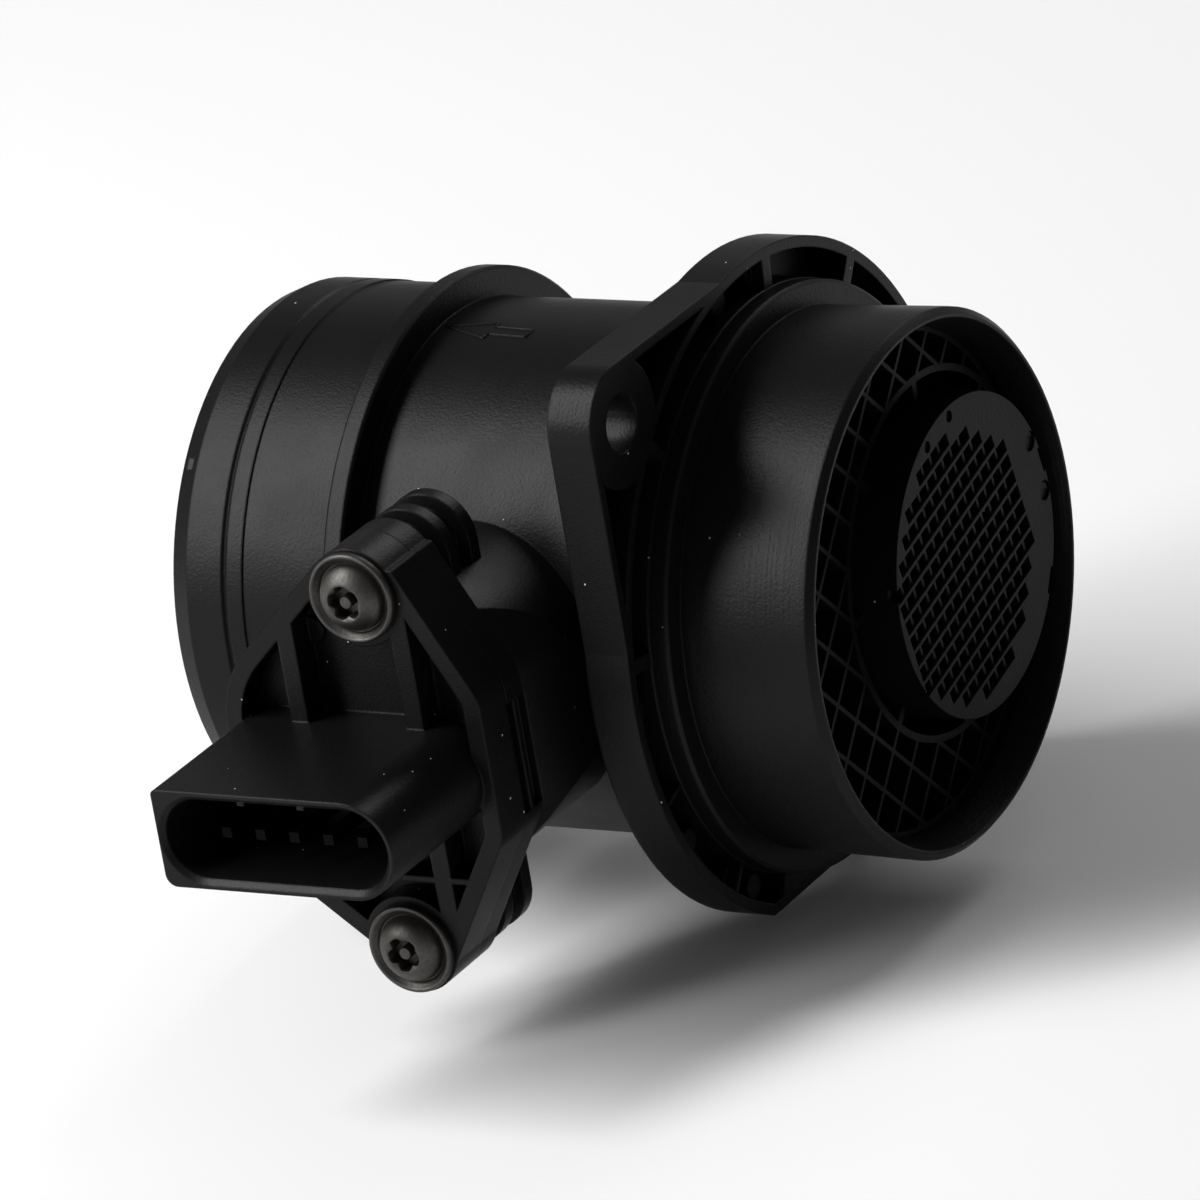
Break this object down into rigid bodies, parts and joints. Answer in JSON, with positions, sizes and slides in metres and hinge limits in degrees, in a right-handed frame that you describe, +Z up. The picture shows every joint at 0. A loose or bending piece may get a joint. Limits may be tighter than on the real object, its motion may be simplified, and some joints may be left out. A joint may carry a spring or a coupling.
{
  "type": "mass airflow sensor",
  "caption": "Tube-mounted mass airflow sensor: plastic duct with bolt flange and inlet flow grids, and a plug-in probe with an electrical socket held by two screws.",
  "frame": {"origin": "on the bore axis, at the front face of the bolt flange that seats on the air box", "axes": "+X along the bore axis, out of the inlet (air flows along -X); -Y is the side the electrical socket faces; +Z is up"},
  "size_m": [0.0949, 0.1243, 0.087],
  "materials": {
    "housing": "moulded black glass-filled plastic, fine grain",
    "grid": "moulded black plastic",
    "sensor": "moulded black glass-filled plastic, fine grain",
    "cover": "moulded black plastic",
    "screw": "zinc-plated steel, warm grey",
    "seal": "black rubber",
    "contact": "tin-plated brass",
    "carrier": "rolled aluminium",
    "board": "white ceramic hybrid, stands in for alumina",
    "chip": "black moulded package",
    "silicon": "silicon die",
    "bead": "glass bead",
    "lead": "tinned wire"
  },
  "bodies": {
    "root": {"tube_housing": "housing", "coarse_grid": "grid", "fine_grid_disc": "grid", "sensor_body": "sensor", "electronics_cover": "cover", "bypass_cover": "cover", "base_plate": "carrier", "hybrid_board": "board", "control_chip": "chip", "flow_chip": "silicon", "temperature_bead": "bead", "temperature_leg_1": "lead", "temperature_leg_2": "lead", "sensor_seal": "seal", "sensor_screws": "screw", "contact_pin_1": "contact", "contact_pin_2": "contact", "contact_pin_3": "contact", "contact_pin_4": "contact", "contact_pin_5": "contact"}
  },
  "joints": []
}
